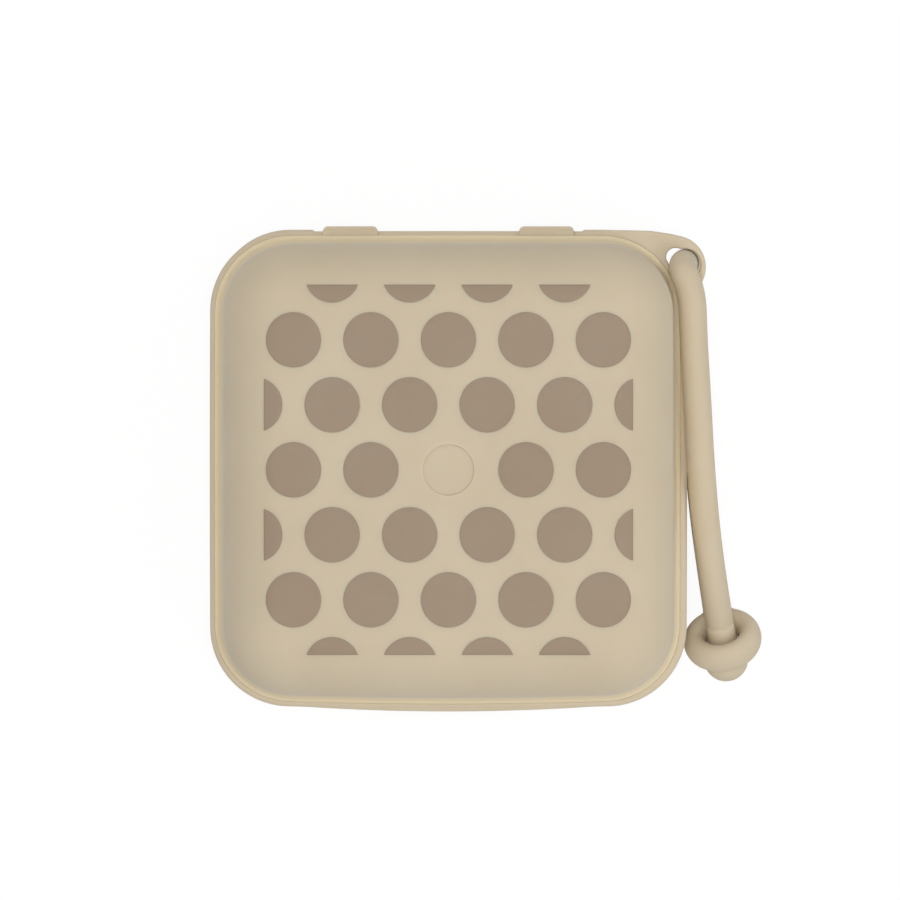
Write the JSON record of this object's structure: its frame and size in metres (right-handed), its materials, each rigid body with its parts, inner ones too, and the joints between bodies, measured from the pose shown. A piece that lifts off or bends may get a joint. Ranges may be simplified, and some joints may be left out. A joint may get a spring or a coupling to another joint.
{
  "type": "pacifier case",
  "caption": "Square soft silicone clamshell case for pacifiers, with a dotted lid, living hinge straps and a ring-and-knob carrying strap.",
  "frame": {"origin": "middle of the flat back, on the surface that the case lies on", "axes": "+Z out through the lid's face, +Y towards the hinge straps, +X towards the carrying strap"},
  "size_m": [0.1041, 0.0917, 0.0451],
  "materials": {
    "silicone": "soft matte silicone",
    "print": "matte silicone ink"
  },
  "bodies": {
    "base": {"base_shell": "silicone", "base_rim": "silicone", "base_seal_rib": "silicone", "thumb_lip": "silicone", "carry_eyelet": "silicone", "hinge_base_leaf_left": "silicone", "hinge_base_leaf_right": "silicone"},
    "lid": {"lid_shell": "silicone", "lid_edge": "silicone", "face_print_dots": "print", "hinge_lid_leaf_left": "silicone", "hinge_lid_leaf_right": "silicone"},
    "strap": {"strap_cord": "silicone", "strap_ring": "silicone", "strap_knob": "silicone"}
  },
  "joints": [
    {"name": "lid_hinge", "type": "hinge", "parent": "base", "child": "lid", "pos_m": [0, 0.0461, 0.0225], "axis": [-1, 0, 0], "range_deg": [0, 180]},
    {"name": "strap_swing", "type": "hinge", "parent": "base", "child": "strap", "pos_m": [0.0447, 0.03875, 0.0209], "axis": [0, 0, 1], "range_deg": [0, 100]}
  ]
}
